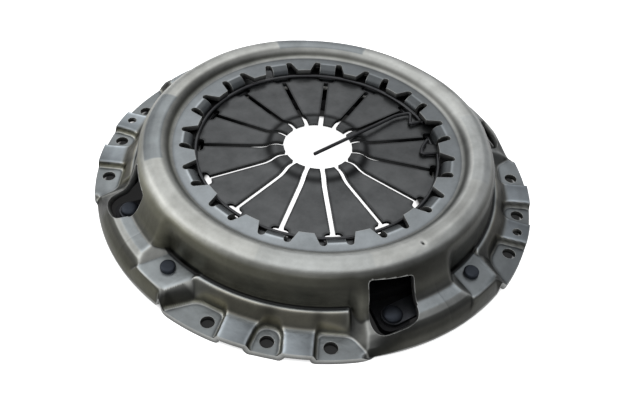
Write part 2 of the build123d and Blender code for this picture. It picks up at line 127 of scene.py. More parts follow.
def floor_disc(tree, disc, within, beyond):
    """Value on the floor inside a disc and beyond it, with a soft edge between its two radii."""
    x, y, inner, outer = disc
    place = tree.nodes.new("ShaderNodeNewGeometry")
    reach = tree.nodes.new("ShaderNodeVectorMath")
    reach.operation = "DISTANCE"
    reach.inputs[1].default_value = (x * MM, y * MM, FLOOR_Z * MM)
    tree.links.new(place.outputs["Position"], reach.inputs[0])
    return map_step(tree, reach.outputs["Value"], inner * MM, outer * MM, within, beyond)


bpy.ops.mesh.primitive_plane_add(size=FLOOR_SIZE, location=(0.0, 0.0, FLOOR_Z * MM))
floor = bpy.context.object
floor.name = "floor"
floor_white = bpy.data.materials.new("floor_white")
floor_white.use_nodes = True
tree = floor_white.node_tree
floor_shader = tree.nodes["Principled BSDF"]
floor_shader.inputs["Roughness"].default_value = 0.9
floor_shader.inputs["Specular IOR Level"].default_value = 0.0
# the floor's colour and glow carry a painted shadow under the clutch, with painted pools of light through
# the hub and slots
under_slots = math_step(tree, "MINIMUM", floor_disc(tree, HUB_LIGHT, 1.0, SHADED),
                        floor_disc(tree, SLOT_LIGHT, 1.0, SHADED))
inside = math_step(tree, "MAXIMUM", under_slots, floor_disc(tree, FAR_LIGHT, 1.0, SHADED))
shade = math_step(tree, "MAXIMUM", inside, floor_disc(tree, RIM_SHADE, 0.0, 1.0))
tree.links.new(shade, floor_shader.inputs["Base Color"])
glow = tree.nodes.new("ShaderNodeEmission")
tree.links.new(math_step(tree, "MULTIPLY", shown_white(tree, FLOOR_GLINT), shade), glow.inputs["Strength"])
both = tree.nodes.new("ShaderNodeAddShader")
tree.links.new(floor_shader.outputs["BSDF"], both.inputs[0])
tree.links.new(glow.outputs["Emission"], both.inputs[1])
tree.links.new(both.outputs["Shader"], tree.nodes["Material Output"].inputs["Surface"])
floor.data.materials.append(floor_white)

# ---------------------------------------------------------------- backdrop
# White studio wall that goes on from the floor. It lights the clutch as a dim cool sky, and metal shows its
# white only near the horizon.
SKY_COLOUR = (0.55, 0.57, 0.60, 1.0)
SKY_STRENGTH = 0.60
HORIZON_GLINT = 0.6
HORIZON_FROM = 0.02
HORIZON_TO = 0.16
world = bpy.data.worlds.new("studio")
scene.world = world
world.use_nodes = True
tree = world.node_tree
sky = tree.nodes["Background"]
sky.inputs["Color"].default_value = SKY_COLOUR
sky.inputs["Strength"].default_value = SKY_STRENGTH
white = tree.nodes.new("ShaderNodeBackground")
white.inputs["Color"].default_value = (1.0, 1.0, 1.0, 1.0)
white.inputs["Strength"].default_value = 1.0
direction = tree.nodes.new("ShaderNodeTexCoord")
split = tree.nodes.new("ShaderNodeSeparateXYZ")
tree.links.new(direction.outputs["Generated"], split.inputs["Vector"])
horizon = map_step(tree, split.outputs["Z"], HORIZON_FROM, HORIZON_TO, HORIZON_GLINT, 0.0)
choose = tree.nodes.new("ShaderNodeMixShader")
tree.links.new(shown_white(tree, horizon), choose.inputs["Fac"])
tree.links.new(sky.outputs["Background"], choose.inputs[1])
tree.links.new(white.outputs["Background"], choose.inputs[2])
tree.links.new(choose.outputs["Shader"], tree.nodes["World Output"].inputs["Surface"])

# ---------------------------------------------------------------- studio lights
# A large soft box above, one behind for the crown's and the pads' sheen, and weak fills at the sides.
# Each is a name, a place and a size in metres, and a power in watts, and all aim at the clutch's middle.
LIGHTS = (("top_box", (0.1, -0.2, 1.4), (2.0, 2.0), 9.5),
          ("rear_box", (-1.2, -0.5, 1.05), (1.8, 0.9), 3.4),
          ("left_box", (0.5, -1.3, 0.8), (1.5, 0.8), 6.0),
          ("front_fill", (1.4, 0.7, 0.6), (0.7, 0.7), 1.2))
AIM = Vector((0.0, 0.0, 0.02))
for name, place, size, power in LIGHTS:
    light_data = bpy.data.lights.new(name, "AREA")
    light_data.shape = "RECTANGLE"
    light_data.size, light_data.size_y = size
    light_data.energy = power
    light = bpy.data.objects.new(name, light_data)
    light.location = place
    light.rotation_euler = (AIM - Vector(place)).to_track_quat("-Z", "Y").to_euler()
    scene.collection.objects.link(light)

# ---------------------------------------------------------------- cover
# Bell pressed from one 5 mm steel sheet: a toothed shelf with bent-down tabs, a rolled crown, a wall with
# lug windows, and a flange of bolt pads, bridges, raised rivet pads and arches. It bolts to the flywheel.
SHEET = 5.0
# how metals look, and the tones of a sheet's inner face and of the two rims of its cut edges, which are a
# painted highlight on the outer rim and painted shade on the inner one
METALLIC = 0.9
ROUGHNESS_DRIFT = 0.08
INNER_TONE = 0.3
OUTER_RIM_TONE = 0.95
INNER_RIM_TONE = 0.25
# the sheet is a grid of points: its columns, its rows from the shelf outwards, and the crown's last row
COLUMNS = 1440
SHELF_ROWS = 28
WALL_ROWS = 54
FLANGE_ROWS = 56
CROWN_ROW = 20
# heights of the flange's bolt pads, its bridges, the rivet pads and the wall's foot
PAD_Z = 5.0
BRIDGE_Z = 10.0
RIVET_PAD_Z = 17.5
FOOT_Z = 20.0
# shelf: its height, and where it starts and ends
SHELF_Z = 47.0
SHELF_FROM_R = 107.0
SHELF_R = 126.0
# rim between the bolt groups, how far it steps out at them, and the ramp behind the bridges
RIM_R = 193.0
RIM_STEP = 2.0
RAMP_R = 172.0
RAMP_RUN = 9.5
# holes for bolts, three in each quarter, and for two dowels
BOLT_R = 184.0
BOLT_TURNS = (0.0, 15.0, 30.0)
BOLT_HOLE_R = 5.5
DOWEL_R = 185.0
DOWEL_TURNS = (97.1, 277.1)
DOWEL_HOLE_R = 4.0
# fifteen holding tabs: where they bend, their half width, and the grid beside one that follows it down
TAB_BEND_R = 117.5
TAB_HALF = 7.4
TAB_MARGIN = 1.2
TAB_STEP = 24.0
FIRST_TAB = 9.2
# gaps between the teeth: where they end, their half width at a radius, how that narrows outwards, and the
# round notches in their corners
GAP_R = 116.5
FLANK_R = 105.95
FLANK_HALF = 16.18
FLANK_TAPER = 0.2421
NOTCH_Y = 10.6
NOTCH_R = 3.0
TEETH_END_R = 122.0
# lug windows: the turn of their middle, their two sides, their top, and where they end in wall and flange
WINDOW_TURN = 47.5
WINDOW_TO_Y = 16.3
WINDOW_FROM_Y = -20.5
WINDOW_TOP_Z = 46.5
WINDOW_FROM_R = 148.0
WINDOW_TO_R = 172.0
LOBE_FROM_R = 160.0
# small drilled mark in the crown
MARK_R = 143.0
MARK_TURN = 60.0
MARK_DEPTH = 1.0
# stands for a distance that is far from every cut
CLEAR = 9.0


def noise_step(tree, place, scale, detail, roughness):
    """Factor of a noise texture at a place."""
    node = tree.nodes.new("ShaderNodeTexNoise")
    node.inputs["Scale"].default_value = scale
    node.inputs["Detail"].default_value = detail
    node.inputs["Roughness"].default_value = roughness
    tree.links.new(place, node.inputs["Vector"])
    return node.outputs["Fac"]


def bump_step(tree, height, strength, distance):
    """Bump node whose height comes from a socket."""
    node = tree.nodes.new("ShaderNodeBump")
    node.inputs["Strength"].default_value = strength
    node.inputs["Distance"].default_value = distance
    tree.links.new(height, node.inputs["Height"])
    return node


def metal(name, dark, light, roughness, grain=0.02, dents=0.0, toned=False):
    """Metal that drifts between two colours in blotches, with a fine grain.

    Dents add a shallow waviness, and a toned metal is darkened or lightened by its sheet's tone attribute.
    """
    material = bpy.data.materials.new(name)
    material.use_nodes = True
    tree = material.node_tree
    shader = tree.nodes["Principled BSDF"]
    shader.inputs["Metallic"].default_value = METALLIC
    place = tree.nodes.new("ShaderNodeTexCoord").outputs["Object"]
    blotches = noise_step(tree, place, scale=40.0, detail=8.0, roughness=0.65)
    ramp = tree.nodes.new("ShaderNodeValToRGB")
    ramp.color_ramp.elements[0].position = 0.3
    ramp.color_ramp.elements[1].position = 0.7
    ramp.color_ramp.elements[0].color = (*dark, 1.0)
    ramp.color_ramp.elements[1].color = (*light, 1.0)
    tree.links.new(blotches, ramp.inputs["Fac"])
    colour = ramp.outputs["Color"]
    if toned:
        tone = tree.nodes.new("ShaderNodeAttribute")
        tone.attribute_name = "tone"
        scale = tree.nodes.new("ShaderNodeVectorMath")
        scale.operation = "MULTIPLY"
        tree.links.new(colour, scale.inputs[0])
        tree.links.new(tone.outputs["Color"], scale.inputs[1])
        colour = scale.outputs["Vector"]
    tree.links.new(colour, shader.inputs["Base Color"])
    patchy = map_step(tree, blotches, 0.0, 1.0, roughness - ROUGHNESS_DRIFT, roughness + ROUGHNESS_DRIFT)
    tree.links.new(patchy, shader.inputs["Roughness"])
    fine = noise_step(tree, place, scale=900.0, detail=3.0, roughness=0.5)
    relief = bump_step(tree, fine, grain, distance=0.5 * MM)
    if dents:
        pits = noise_step(tree, place, scale=260.0, detail=1.0, roughness=0.5)
        wavy = bump_step(tree, pits, dents, distance=0.6 * MM)
        tree.links.new(wavy.outputs["Normal"], relief.inputs["Normal"])
    tree.links.new(relief.outputs["Normal"], shader.inputs["Normal"])
    return material


def smooth_step(low, high, value):
    t = np.clip((value - low) / (high - low), 0.0, 1.0)
    return t * t * (3.0 - 2.0 * t)


def band(value, rise, fall):
    """One between a rise and a fall, each given by where it starts and ends, and nothing beyond them."""
    return smooth_step(*rise, value) * (1.0 - smooth_step(*fall, value))


def hump(value, middle, width):
    """One in the middle, dying away over a width."""
    return np.exp(-((value - middle) / width) ** 2)


def soft_min(a, b, k):
    h = np.clip(0.5 + 0.5 * (b - a) / k, 0.0, 1.0)
    return b * (1.0 - h) + a * h - k * h * (1.0 - h)


def soft_max(a, b, k):
    return -soft_min(-a, -b, k)


def smoothed(values, passes):
    """Rows of values eased towards their neighbours, with the first and last rows left as they are."""
    values = values.copy()
    for _ in range(passes):
        values[1:-1] = 0.25 * values[:-2] + 0.5 * values[1:-1] + 0.25 * values[2:]
    return values


def run_lengths(keys):
    """Length along a line of key points, from the first to each of them."""
    return np.concatenate([[0.0], np.cumsum(np.hypot(*np.diff(keys, axis=0).T))])


def polar(radius, angle):
    return radius * math.cos(math.radians(angle)), radius * math.sin(math.radians(angle))


def convex_distance(x, y, corners, rounding):
    """Signed distance to a convex outline given counter-clockwise, with rounded corners."""
    distance = None
    for (x0, y0), (x1, y1) in zip(corners, corners[1:] + corners[:1]):
        length = math.hypot(x1 - x0, y1 - y0)
        edge = ((x - x0) * (y1 - y0) - (y - y0) * (x1 - x0)) / length
        distance = edge if distance is None else soft_max(distance, edge, rounding)
    return distance


def slide_to_cuts(points, keep, index):
    """Slide the grid points close to a cut onto it, so that no sliver is left beside it."""
    neighbours = ((index, np.roll(index, -1, axis=1)), (index, np.roll(index, 1, axis=1)),
                  (index[:-1], index[1:]), (index[1:], index[:-1]))
    for here, there in neighbours:
        here, there = here.ravel(), there.ravel()
        a, b = keep[here], keep[there]
        crossing = (a * b < 0.0) & (np.abs(a) < 0.3 * np.abs(a - b))
        here, there = here[crossing], there[crossing]
        share = (keep[here] / (keep[here] - keep[there]))[:, None]
        points[here] = points[here] * (1.0 - share) + points[there] * share
        keep[here] = 0.0


def cut_cells(values, keep, index):
    """Faces of the grid's cells that are kept, and the values with a row added for each new corner."""
    corner = np.stack([index[:-1], np.roll(index, -1, axis=1)[:-1],
                       np.roll(index, -1, axis=1)[1:], index[1:]], axis=-1).reshape(-1, 4)
    signs = keep[corner]
    whole = (signs >= 0.0).all(axis=1)
    mixed = (~whole) & (signs > 0.0).any(axis=1)
    faces = corner[whole].tolist()
    extra, made = [], {}
    for cell in corner[mixed].tolist():
        outline = []
        for a, b in zip(cell, cell[1:] + cell[:1]):
            if keep[a] >= 0.0:
                outline.append(a)
            if keep[a] * keep[b] < 0.0:
                key = (min(a, b), max(a, b))
                if key not in made:
                    share = keep[a] / (keep[a] - keep[b])
                    made[key] = len(values) + len(extra)
                    extra.append(values[a] * (1.0 - share) + values[b] * share)
                outline.append(made[key])
        if len(outline) >= 3:
            faces.append(outline)
    return faces, np.vstack([values, np.array(extra)])


def trimmed_sheet(name, points, keep, thickness, normals, tone):
    """Closed sheet from a grid of points, cut where keep turns negative, thickened inward along normals.

    The tone of each grid point is kept as the sheet's tone attribute, which its metal reads.
    """
    index = np.arange(keep.size).reshape(keep.shape)
    flat_points = points.reshape(-1, 3).copy()
    flat_keep = keep.ravel().copy()
    slide_to_cuts(flat_points, flat_keep, index)
    values = np.hstack([flat_points, normals.reshape(-1, 3), tone.reshape(-1, 3)])
    faces, values = cut_cells(values, flat_keep, index)
    used = np.unique(np.concatenate([np.array(face) for face in faces]))
    renumber = -np.ones(len(values), int)
    renumber[used] = np.arange(len(used))
    faces = [renumber[np.array(face)].tolist() for face in faces]
    outer = values[used, 0:3]
    normal = values[used, 3:6]
    normal /= np.linalg.norm(normal, axis=1)[:, None]
    inner = outer - thickness * normal
    inner[:, 2] = np.maximum(inner[:, 2], 0.0)
    count = len(used)
    open_edges = {}
    for face in faces:
        for a, b in zip(face, face[1:] + face[:1]):
            if (b, a) in open_edges:
                del open_edges[(b, a)]
            else:
                open_edges[(a, b)] = True
    closed = faces + [[count + v for v in reversed(face)] for face in faces]
    closed += [[b, a, a + count, b + count] for a, b in open_edges]
    mesh = bpy.data.meshes.new(name)
    mesh.from_pydata((np.vstack([outer, inner]) * MM).tolist(), [], closed)
    mesh.update()
    mesh.polygons.foreach_set("use_smooth", [True] * len(mesh.polygons))
    rim = {(min(a, b), max(a, b)) for a, b in open_edges}
    rim |= {(a + count, b + count) for a, b in rim}
    weight = mesh.attributes.new("bevel_weight_edge", "FLOAT", "EDGE")
    weight.data.foreach_set("value", [float((min(e.vertices), max(e.vertices)) in rim) for e in mesh.edges])
    # the inner face is darker, and the cut edges carry a painted highlight where they meet the outer face
    # and painted shade where they meet the inner one
    tones = np.ones((2 * count, 4))
    tones[:count, :3] = values[used, 6:9]
    tones[count:, :3] = INNER_TONE
    rim_points = np.unique(np.array(list(rim)))
    tones[rim_points, :3] = np.where(rim_points < count, OUTER_RIM_TONE, INNER_RIM_TONE)[:, None]
    mesh.attributes.new("tone", "FLOAT_COLOR", "POINT").data.foreach_set("color", tones.ravel())
    piece = bpy.data.objects.new(name, mesh)
    scene.collection.objects.link(piece)
    return piece


def round_rims(piece, width):
    """Small rounding of a sheet's cut edges."""
    edge = piece.modifiers.new("edge", "BEVEL")
    edge.limit_method = "WEIGHT"
    edge.width = width * MM
    edge.segments = 2


def polar_points(radius, height):
    """Grid of points with a column at each angle, from the radii and heights of its points."""
    turns = np.radians(angles)
    return np.stack([radius * np.cos(turns), radius * np.sin(turns), height], axis=2)


def grid_normals(points, blur):
    """Unit normals of a polar grid of points, blurred so that thickening doesn't fold."""
    along = np.gradient(points, axis=0)
    around = np.roll(points, -1, axis=1) - np.roll(points, 1, axis=1)
    normal = np.cross(along, around)
    normal /= np.maximum(np.linalg.norm(normal, axis=2)[:, :, None], 1e-9)
    for _ in range(blur):
        padded = np.pad(normal, ((1, 1), (0, 0), (0, 0)), mode="edge")
        normal = (padded[:-2] + padded[1:-1] + padded[2:] + np.roll(normal, 1, axis=1)
                  + np.roll(normal, -1, axis=1))
        normal /= np.linalg.norm(normal, axis=2)[:, :, None]
    return normal


# profiles of the crown and wall over a bolt sector and over a strap, as (radius, height)
BOLT_WALL = [(126.5, 47.0), (129.0, 49.8), (132.0, 53.0), (137.0, 55.0), (143.0, 55.0), (149.0, 53.0),
             (153.5, 48.5), (155.5, 43.0), (156.5, 36.0), (157.5, 26.0), (158.0, 20.0)]
STRAP_WALL = [(126.5, 47.0), (129.0, 49.8), (132.0, 53.0), (137.5, 55.0), (144.0, 55.0), (149.5, 53.4),
              (154.0, 49.5), (157.8, 43.0), (161.0, 36.0), (164.5, 28.5), (168.8, 23.0)]
# profiles of the flange over a strap, where it rises to the strap, and outside a rivet pad
ARCH = [(150.0, 23.5), (169.0, 23.5), (178.0, 22.0), (183.0, 19.8), (187.0, 15.5), (191.0, 9.0),
        (192.6, 4.5), (193.0, 1.5)]
RISING = [(150.0, 20.0), (160.0, 20.0), (167.0, 17.5), (180.0, 12.0), (189.0, 6.5), (193.0, 1.5)]
OUTER_SLOPE = [(150.0, 40.0), (184.0, 22.0), (187.8, 17.8), (190.3, 12.5), (192.3, 6.0), (193.0, 1.5)]
# outlines of the flange's pads, with their rounding, and of the opening in it beside a lug window
RIVET_PAD = [polar(150.0, -19.4), polar(187.5, -22.3), polar(184.0, -12.6), polar(150.0, -7.9)]
FIRST_PAD = [polar(172.0, -5.4), polar(196.0, -10.8), polar(197.5, -4.0), polar(197.5, 3.6),
             polar(172.0, 2.6)]
MIDDLE_PAD = [polar(172.0, 12.2), polar(198.0, 11.5), polar(198.0, 18.5), polar(172.0, 17.8)]
LAST_PAD = [polar(172.0, 27.0), polar(197.5, 26.4), polar(197.5, 34.0), polar(196.0, 38.7),
            polar(175.0, 35.3)]
BOLT_PADS = ((FIRST_PAD, 5.0), (MIDDLE_PAD, 9.0), (LAST_PAD, 5.0))
WINDOW_LOBE = [(158.0, -20.5), (176.0, -23.0), (183.5, -17.5), (186.0, -6.0), (185.5, 5.5), (181.0, 14.0),
               (172.0, 16.5), (158.0, 16.5)]
# route of a holding tab down past the wire rings and in under them, as (radius, height)
TAB_ROUTE = np.array([(117.5, 47.0), (115.0, 46.8), (112.0, 45.6), (109.8, 43.4), (108.8, 40.0),
                      (108.6, 36.0), (108.4, 32.5), (107.2, 31.2), (105.0, 31.0), (103.0, 31.0)])

# each column's angle, and the same within its quarter: turn from -30, turn_up from 0
angles = np.arange(COLUMNS) * 360.0 / COLUMNS
turn = (angles + 30.0) % 90.0 - 30.0
turn_up = angles % 90.0


def wall_line(keys):
    """Radii and heights at even steps along a profile, with its corners rounded."""
    keys = np.array(keys)
    run = run_lengths(keys)
    dense = np.linspace(0.0, run[-1], 400)
    curve = smoothed(np.stack([np.interp(dense, run, keys[:, k]) for k in (0, 1)], axis=1), passes=160)
    steps = np.linspace(0.0, 1.0, WALL_ROWS) * run[-1]
    return np.stack([np.interp(steps, dense, curve[:, k]) for k in (0, 1)], axis=1)


def flange_height(radius, turn):
    """Height of the flange's upper face in the quarter whose first bolt hole is at angle 0."""
    x, y = radius * np.cos(np.radians(turn)), radius * np.sin(np.radians(turn))
    turn_up = turn % 90.0
    # bridges and ramp in the bolt sector, arch over the straps, and the rise between them
    ramp = soft_min(FOOT_Z, BRIDGE_Z + (RAMP_R - radius) * (FOOT_Z - BRIDGE_Z) / RAMP_RUN, 1.0)
    bolts = soft_max(BRIDGE_Z, ramp, 1.5)
    arch = np.interp(radius, *zip(*ARCH))
    full = smooth_step(39.0, 48.0, turn_up)
    over_strap = np.interp(radius, *zip(*RISING)) * (1.0 - full) + arch * full
    fall = (turn_up >= 60.0) * (1.0 - smooth_step(76.0, 80.5, turn_up))
    share = smooth_step(34.0, 39.0, turn_up) * (turn_up < 60.0) + fall
    height = bolts * (1.0 - share) + over_strap * share
    # riser from the rivet pad down to the first bolt pad
    past = np.clip(convex_distance(x, y, RIVET_PAD, 0.8), 0.0, None)
    first, middle, last = (convex_distance(x, y, outline, rounding) for outline, rounding in BOLT_PADS)
    share = past / (past + np.clip(first, 0.001, None))
    riser = RIVET_PAD_Z - 12.0 * share ** 1.7
    near = ((turn > -17.0) | ((turn > -22.3) & (radius > 183.0))) & (turn < 0.0) & (past > 0.0)
    height = np.where(near, np.maximum(riser, np.where(turn > -9.5, ramp, 0.0)), height)
    # the rivet pad is flat, and the flange falls away from it outside
    flat = soft_max(soft_min(height, RIVET_PAD_Z + 0.6 * past, 0.4), RIVET_PAD_Z - 1.6 * past, 0.4)
    height = np.where(turn < 0.0, flat, height)
    along = smooth_step(-26.0, -20.5, turn)
    outer = arch * (1.0 - along) + np.interp(radius, *zip(*OUTER_SLOPE)) * along
    outer = outer + 30.0 * smooth_step(-13.5, -10.6, turn)
    height = np.where(turn < 0.0, soft_min(height, outer, 0.6), height)
    # each bolt pad is flat, with sloping sides up to the bridges
    last_side = 2.4 - 1.5 * smooth_step(33.0, 36.0, turn)
    for distance, side, ease in ((first, 2.4, 0.4), (middle, 2.4, 1.0), (last, last_side, 1.0)):
        height = soft_min(height, PAD_Z + side * np.clip(distance, 0.0, None), ease)
    return height


# crown and wall: the wall stands further out over the straps, and its foot follows the flange's height
bolt_wall, strap_wall = wall_line(BOLT_WALL), wall_line(STRAP_WALL)
bulge_foot = smooth_step(34.8, 38.5, turn_up) - smooth_step(64.8, 69.3, turn_up)
bulge_top = smooth_step(27.0, 45.0, turn_up) - smooth_step(58.0, 78.0, turn_up)
near_foot = smooth_step(53.0, 42.0, bolt_wall[:, 1:])
bulge = bulge_top * (1.0 - near_foot) + bulge_foot * near_foot
wall_radius = bolt_wall[:, :1] * (1.0 - bulge) + strap_wall[:, :1] * bulge
wall_height = bolt_wall[:, 1:] * (1.0 - bulge) + strap_wall[:, 1:] * bulge
foot_radius = wall_radius[-1]
stretch = (SHELF_Z - flange_height(foot_radius, turn)) / (SHELF_Z - wall_height[-1])
past_crown = np.arange(WALL_ROWS)[:, None] > CROWN_ROW
wall_height = np.where((wall_height < SHELF_Z) & past_crown,
                       SHELF_Z - (SHELF_Z - wall_height) * stretch, wall_height)

# shelf, wall and flange in one grid of rows, with the foot of the wall rounded
shelf_radius = np.linspace(SHELF_FROM_R, SHELF_R, SHELF_ROWS)
rim_radius = RIM_R + RIM_STEP * band(turn, (-12.5, -10.5), (38.2, 40.0))
share = np.linspace(0.0, 1.0, FLANGE_ROWS + 1)[1:, None]
flange_radius = foot_radius + (rim_radius - foot_radius) * share
radius = np.vstack([np.repeat(shelf_radius[:, None], COLUMNS, axis=1), wall_radius, flange_radius])
height = np.vstack([np.full((SHELF_ROWS, COLUMNS), SHELF_Z), wall_height,
                    flange_height(flange_radius, turn)])
height = smoothed(height, passes=3)
foot = slice(SHELF_ROWS + WALL_ROWS - 5, SHELF_ROWS + WALL_ROWS + 6)
radius[foot] = smoothed(radius[foot], passes=6)
height[foot] = smoothed(height[foot], passes=6)
points = polar_points(radius, height)

# holding tabs: the shelf's first rows turn down past the wire rings and curl in under them
tab_turn = (angles - FIRST_TAB + TAB_STEP / 2.0) % TAB_STEP - TAB_STEP / 2.0
tab_side = TAB_BEND_R * np.sin(np.radians(tab_turn))
tab_run = run_lengths(TAB_ROUTE)
along = np.clip((TAB_BEND_R - shelf_radius) / (TAB_BEND_R - shelf_radius[0]), 0.0, 1.0) * tab_run[-1]
route_x = np.interp(along, tab_run, TAB_ROUTE[:, 0])
route_z = np.interp(along, tab_run, TAB_ROUTE[:, 1])
on_tab = np.abs(tab_side) < TAB_HALF + TAB_MARGIN
for row in np.nonzero(shelf_radius < TAB_BEND_R)[0]:
    for column in np.nonzero(on_tab)[0]:
        axis = math.radians(angles[column] - tab_turn[column])
        x, y = route_x[row], tab_side[column]
        points[row, column] = (x * math.cos(axis) - y * math.sin(axis),
                               x * math.sin(axis) + y * math.cos(axis), route_z[row])

# the mark is sunk by its depth, with a sloping side
mark_x, mark_y = polar(MARK_R, MARK_TURN)
mark = np.hypot(points[:, :, 0] - mark_x, points[:, :, 1] - mark_y)
points[:, :, 2] -= MARK_DEPTH * (1.0 - smooth_step(1.0, 2.0, mark))

# what is cut away: gaps between the teeth, bolt and dowel holes, and the lug windows
tab_x = radius * np.cos(np.radians(tab_turn))
tab_y = radius * np.sin(np.radians(tab_turn))
flank = FLANK_HALF - FLANK_TAPER * (tab_x - FLANK_R)
gap = soft_max(np.abs(tab_y) - flank, tab_x - GAP_R, 1.0)
notch = np.hypot(tab_x - GAP_R, np.abs(tab_y) - NOTCH_Y) - NOTCH_R
tab = np.where(radius < TAB_BEND_R + 0.5, TAB_HALF - np.abs(tab_side), -CLEAR)
keep = np.maximum(np.minimum(gap, notch), tab)
keep = np.where(radius < TEETH_END_R, keep, CLEAR)
plan_x = radius * np.cos(np.radians(turn))
plan_y = radius * np.sin(np.radians(turn))
for angle in BOLT_TURNS:
    hole_x, hole_y = polar(BOLT_R, angle)
    keep = np.minimum(keep, np.hypot(plan_x - hole_x, plan_y - hole_y) - BOLT_HOLE_R)
for angle in DOWEL_TURNS:
    hole_x, hole_y = polar(DOWEL_R, angle)
    keep = np.minimum(keep, np.hypot(points[:, :, 0] - hole_x, points[:, :, 1] - hole_y) - DOWEL_HOLE_R)
window_x = radius * np.cos(np.radians(turn_up - WINDOW_TURN))
window_y = radius * np.sin(np.radians(turn_up - WINDOW_TURN))
wall_side = np.maximum(WINDOW_FROM_Y - window_y, window_y - WINDOW_TO_Y)
wall_window = soft_max(wall_side, height - WINDOW_TOP_Z + 0.10 * (window_y + 20.0), 4.0)
wall_window = np.where(radius > WINDOW_FROM_R, np.maximum(wall_window, radius - WINDOW_TO_R), CLEAR)
lobe = np.where(radius > LOBE_FROM_R, convex_distance(window_x, window_y, WINDOW_LOBE, 5.0), CLEAR)
keep = np.minimum(keep, np.minimum(wall_window, lobe))

# tone of the bare steel is painted reflection: level faces are brighter than steep ones, which are painted
# dark as if mirroring dark surroundings, the flange is darker than the crown and its outer rim darker still,
# and the shelf and the steep faces are painted lighter on one side
facing = grid_normals(points, 1)
lean = facing[:, :, 2]
# one side painted as the lit one: 1 at 300 degrees, 0 on the far side
lit_side = 0.5 + 0.5 * np.cos(np.radians(angles - 300.0))
on_shelf = radius < SHELF_R
upper = smooth_step(24.0, 32.0, height)
low_tone = 0.21 - 0.09 * smooth_step(183.0, 187.0, radius) + 0.55 * smooth_step(0.70, 0.98, lean)
steep_tone = 0.15 + 0.68 * smooth_step(0.60 - 0.25 * lit_side, 0.95, lean)
shelf_tone = 0.64 + 0.24 * np.cos(np.radians(angles - 350.0))
tone = np.where(on_shelf, shelf_tone, low_tone * (1.0 - upper) + steep_tone * upper)

# ridges get a painted highlight and hollows painted shade: where the sheet stands out of a blurred copy of
# itself
soft = points.copy()
for _ in range(12):
    soft[1:-1] = (soft[:-2] + soft[1:-1] + soft[2:] + np.roll(soft, 1, axis=1)[1:-1]
                  + np.roll(soft, -1, axis=1)[1:-1]) / 5.0
ridge = np.clip(((points - soft) * facing).sum(axis=2) / 0.35, -1.0, 1.0)
tone = tone * np.where(ridge > 0.0, 1.0 + 0.9 * ridge, 1.0 + 0.6 * ridge)

# painted shade on the ledge at the wall's foot, dark tabs, and a painted highlight line outside the shelf
# and round each bolt pad
ledge = band(radius, (156.5, 157.5), (160.6, 161.6)) * (height < 21.5)
tone = tone * (1.0 - 0.85 * ledge)
tone = np.where((radius < TAB_BEND_R) & on_tab, 0.26, tone)
tone = tone + 0.6 * hump(radius, 127.2, 1.2)
pad_rim = np.minimum.reduce([np.abs(convex_distance(plan_x, plan_y, outline, rounding))
                             for outline, rounding in BOLT_PADS])
tone = tone + 0.85 * hump(pad_rim, 0.2, 0.55) * (radius > 171.0) * (radius < 194.0)

# the flatter facet that pressing leaves on the crown over each bolt sector is painted as a darker
# reflection, full on one side and faint elsewhere
facet = band(turn_up, (6.9, 7.9), (42.0, 43.0)) * np.where((angles > 180.0) & (angles < 330.0), 1.0, 0.25)
facet = facet * band(radius, (134.0, 135.0), (149.0, 150.0))
tone = tone * (1.0 - 0.38 * facet)

# painted shade in the inner bend on one side, and in patches round the crown, wall and flange
inner_bend = band(radius, (127.6, 129.6), (133.5, 137.5))
tone = tone * (1.0 - 0.75 * inner_bend * (0.5 + 0.5 * np.cos(np.radians(angles - 265.0))) ** 2)
crest = band(radius, (134.0, 136.0), (139.0, 143.0))
shoulder = smooth_step(149.0, 152.0, radius) * smooth_step(30.0, 42.0, height)
far_rim = band(radius, (144.0, 147.5), (153.0, 156.0))
near_window = smooth_step(146.0, 149.0, radius) * smooth_step(26.0, 34.0, height)
low_flange = smooth_step(160.0, 164.0, radius) * (1.0 - smooth_step(19.0, 22.0, height))
for region, strength, middle, width in ((crest, 0.38, 80.0, 28.0), (shoulder, 0.60, 50.0, 38.0),
                                        (far_rim, 0.72, 180.0, 40.0), (near_window, 0.42, 300.0, 18.0),
                                        (low_flange, 0.50, 92.0, 34.0)):
    tone = tone * (1.0 - strength * region * hump(angles, middle, width))

# painted shade on the flange: behind the middle and last pads, on the riser, along the bridges, which also
# get a painted highlight where they start, and where an arch begins
skirt = band(radius, (160.0, 163.0), (171.0, 176.0)) * band(turn, (-7.0, 2.0), (31.0, 37.0))
tone = tone * (1.0 - skirt * (0.55 * hump(turn, 14.0, 2.4) + 0.45 * hump(turn, 26.8, 1.6)))
riser_shade = band(turn, (-14.5, -12.0), (-6.0, -4.0))
riser_shade = riser_shade * smooth_step(170.0, 173.0, radius) * smooth_step(6.0, 8.5, height)
tone = tone * (1.0 - 0.62 * riser_shade * (height < 16.8))
bridge = smooth_step(174.0, 177.0, radius) * (height > 8.0) * (height < 11.5)
across = sum(np.clip((turn - start) / width, 0.0, 1.0) * (turn < end)
             for start, width, end in ((3.6, 7.9, 12.0), (18.4, 8.0, 27.0)))
tone = tone * (1.0 + bridge * (0.25 * (across > 0.0) - 0.75 * across ** 2))
tone = tone * (1.0 - 0.55 * smooth_step(181.0, 186.0, radius) * hump(turn_up, 43.0, 5.5))

# the drilled mark has painted shade inside and a painted highlight on its edge
tone = np.where(mark < 1.3, 0.12, np.where(mark < 2.4, 1.2, tone))

